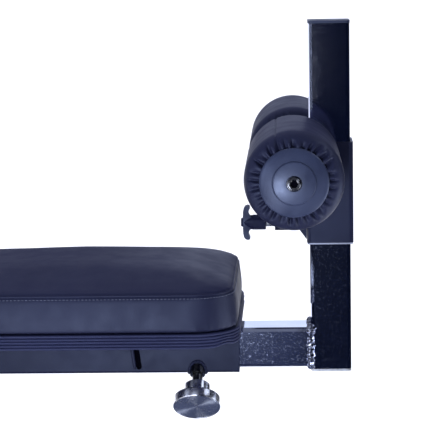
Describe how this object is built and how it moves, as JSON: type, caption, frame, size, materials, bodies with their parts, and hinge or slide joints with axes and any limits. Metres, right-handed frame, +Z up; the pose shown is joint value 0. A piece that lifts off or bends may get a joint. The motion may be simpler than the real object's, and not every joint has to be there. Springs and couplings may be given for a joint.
{
  "type": "adjustable weight bench",
  "caption": "Padded adjustable weight bench with a hinged backrest, a slanted steel base and a sliding leg hold-down with foam rollers on a pinned sleeve.",
  "frame": {"origin": "centre of the footprint on the floor, under the middle of the whole length and width", "axes": "+X towards the leg hold-down, +Y to the side away from the clamp knob, +Z up"},
  "size_m": [1.4164, 0.576, 0.7533],
  "materials": {
    "black_paint": "satin powder coat",
    "chrome_plate": "bright mirror plating",
    "bright_steel": "turned and zinc plated",
    "dark_steel": "blackened",
    "black_vinyl": "soft upholstery vinyl with a fine grain",
    "black_plastic": "satin moulded",
    "black_rubber": "matte"
  },
  "bodies": {
    "frame": {"main_beam": "black_paint", "front_leg": "black_paint", "rear_leg": "black_paint", "front_foot": "black_paint", "rear_foot": "black_paint", "wheel_bracket_left": "black_paint", "wheel_bracket_right": "black_paint", "seat_angle_left": "black_paint", "seat_angle_right": "black_paint", "hinge_bracket": "black_paint", "lift_handle": "chrome_plate", "hinge_pin": "bright_steel", "seat_bolt_1": "bright_steel", "seat_bolt_2": "bright_steel", "seat_bolt_3": "bright_steel", "seat_bolt_4": "bright_steel", "clamp_boss": "bright_steel", "lock_barrel": "dark_steel", "seat_board": "black_vinyl", "seat_cushion": "black_vinyl", "beam_rear_cap": "black_plastic", "front_foot_cap_left": "black_rubber", "front_foot_cap_right": "black_rubber", "rear_foot_cap_left": "black_rubber", "rear_foot_cap_right": "black_rubber"},
    "backrest": {"back_rail_left": "black_paint", "back_rail_right": "black_paint", "back_cross_front": "black_paint", "back_cross_rear": "black_paint", "sector_plate": "black_paint", "hinge_arm": "black_paint", "back_board": "black_vinyl", "back_cushion": "black_vinyl", "back_bolt_1": "bright_steel", "back_bolt_2": "bright_steel", "back_bolt_3": "bright_steel", "back_bolt_4": "bright_steel"},
    "angle_lock": {"lock_pin": "bright_steel", "lock_knob": "black_plastic"},
    "clamp": {"clamp_screw": "dark_steel", "clamp_knob": "bright_steel"},
    "leg_hold": {"slide_tube": "chrome_plate", "post_tube": "chrome_plate", "weld_bead": "chrome_plate", "post_top_cap": "black_plastic", "post_bottom_cap": "bright_steel"},
    "sleeve_body": {"sleeve": "black_paint", "pin_barrel": "black_paint", "axle_bar": "black_paint", "axle_bolt_left": "bright_steel", "axle_bolt_right": "bright_steel"},
    "pull_pin_body": {"pull_pin": "bright_steel", "pin_handle": "black_plastic"},
    "roller_left": {"roller_pad_left": "black_vinyl", "roller_cap_left": "black_plastic"},
    "roller_right": {"roller_pad_right": "black_vinyl", "roller_cap_right": "black_plastic"},
    "wheel_left_body": {"wheel_left": "black_rubber"},
    "wheel_right_body": {"wheel_right": "black_rubber"}
  },
  "joints": [
    {"name": "backrest_tilt", "type": "hinge", "parent": "frame", "child": "backrest", "pos_m": [0.15175, 0, 0.394], "axis": [0, 1, 0], "range_deg": [0, 75]},
    {"name": "angle_lock_pull", "type": "slide", "parent": "frame", "child": "angle_lock", "axis": [0, 1, 0], "range_m": [0, 0.012], "stiffness_N_per_m": 800, "springref_m": -0.01},
    {"name": "clamp_turn", "type": "hinge", "parent": "frame", "child": "clamp", "pos_m": [0.51355, -0.03, 0.32], "axis": [0, -0.7071, -0.7071], "range_deg": [0, 720]},
    {"name": "leg_hold_slide", "type": "slide", "parent": "frame", "child": "leg_hold", "axis": [1, 0, 0], "range_m": [-0.05, 0.1]},
    {"name": "sleeve_height", "type": "slide", "parent": "leg_hold", "child": "sleeve_body", "axis": [0, 0, 1], "range_m": [-0.02, 0.1]},
    {"name": "sleeve_pin_pull", "type": "slide", "parent": "sleeve_body", "child": "pull_pin_body", "axis": [-1, 0, 0], "range_m": [0, 0.01], "stiffness_N_per_m": 800, "springref_m": -0.01},
    {"name": "roller_left_spin", "type": "hinge", "parent": "sleeve_body", "child": "roller_left", "pos_m": [0.63545, -0.14, 0.587], "axis": [0, 1, 0], "continuous": true},
    {"name": "roller_right_spin", "type": "hinge", "parent": "sleeve_body", "child": "roller_right", "pos_m": [0.63545, 0.14, 0.587], "axis": [0, 1, 0], "continuous": true},
    {"name": "wheel_left_spin", "type": "hinge", "parent": "frame", "child": "wheel_left_body", "pos_m": [0.37175, -0.2, 0.031], "axis": [0, 1, 0], "continuous": true},
    {"name": "wheel_right_spin", "type": "hinge", "parent": "frame", "child": "wheel_right_body", "pos_m": [0.37175, 0.2, 0.031], "axis": [0, 1, 0], "continuous": true}
  ]
}
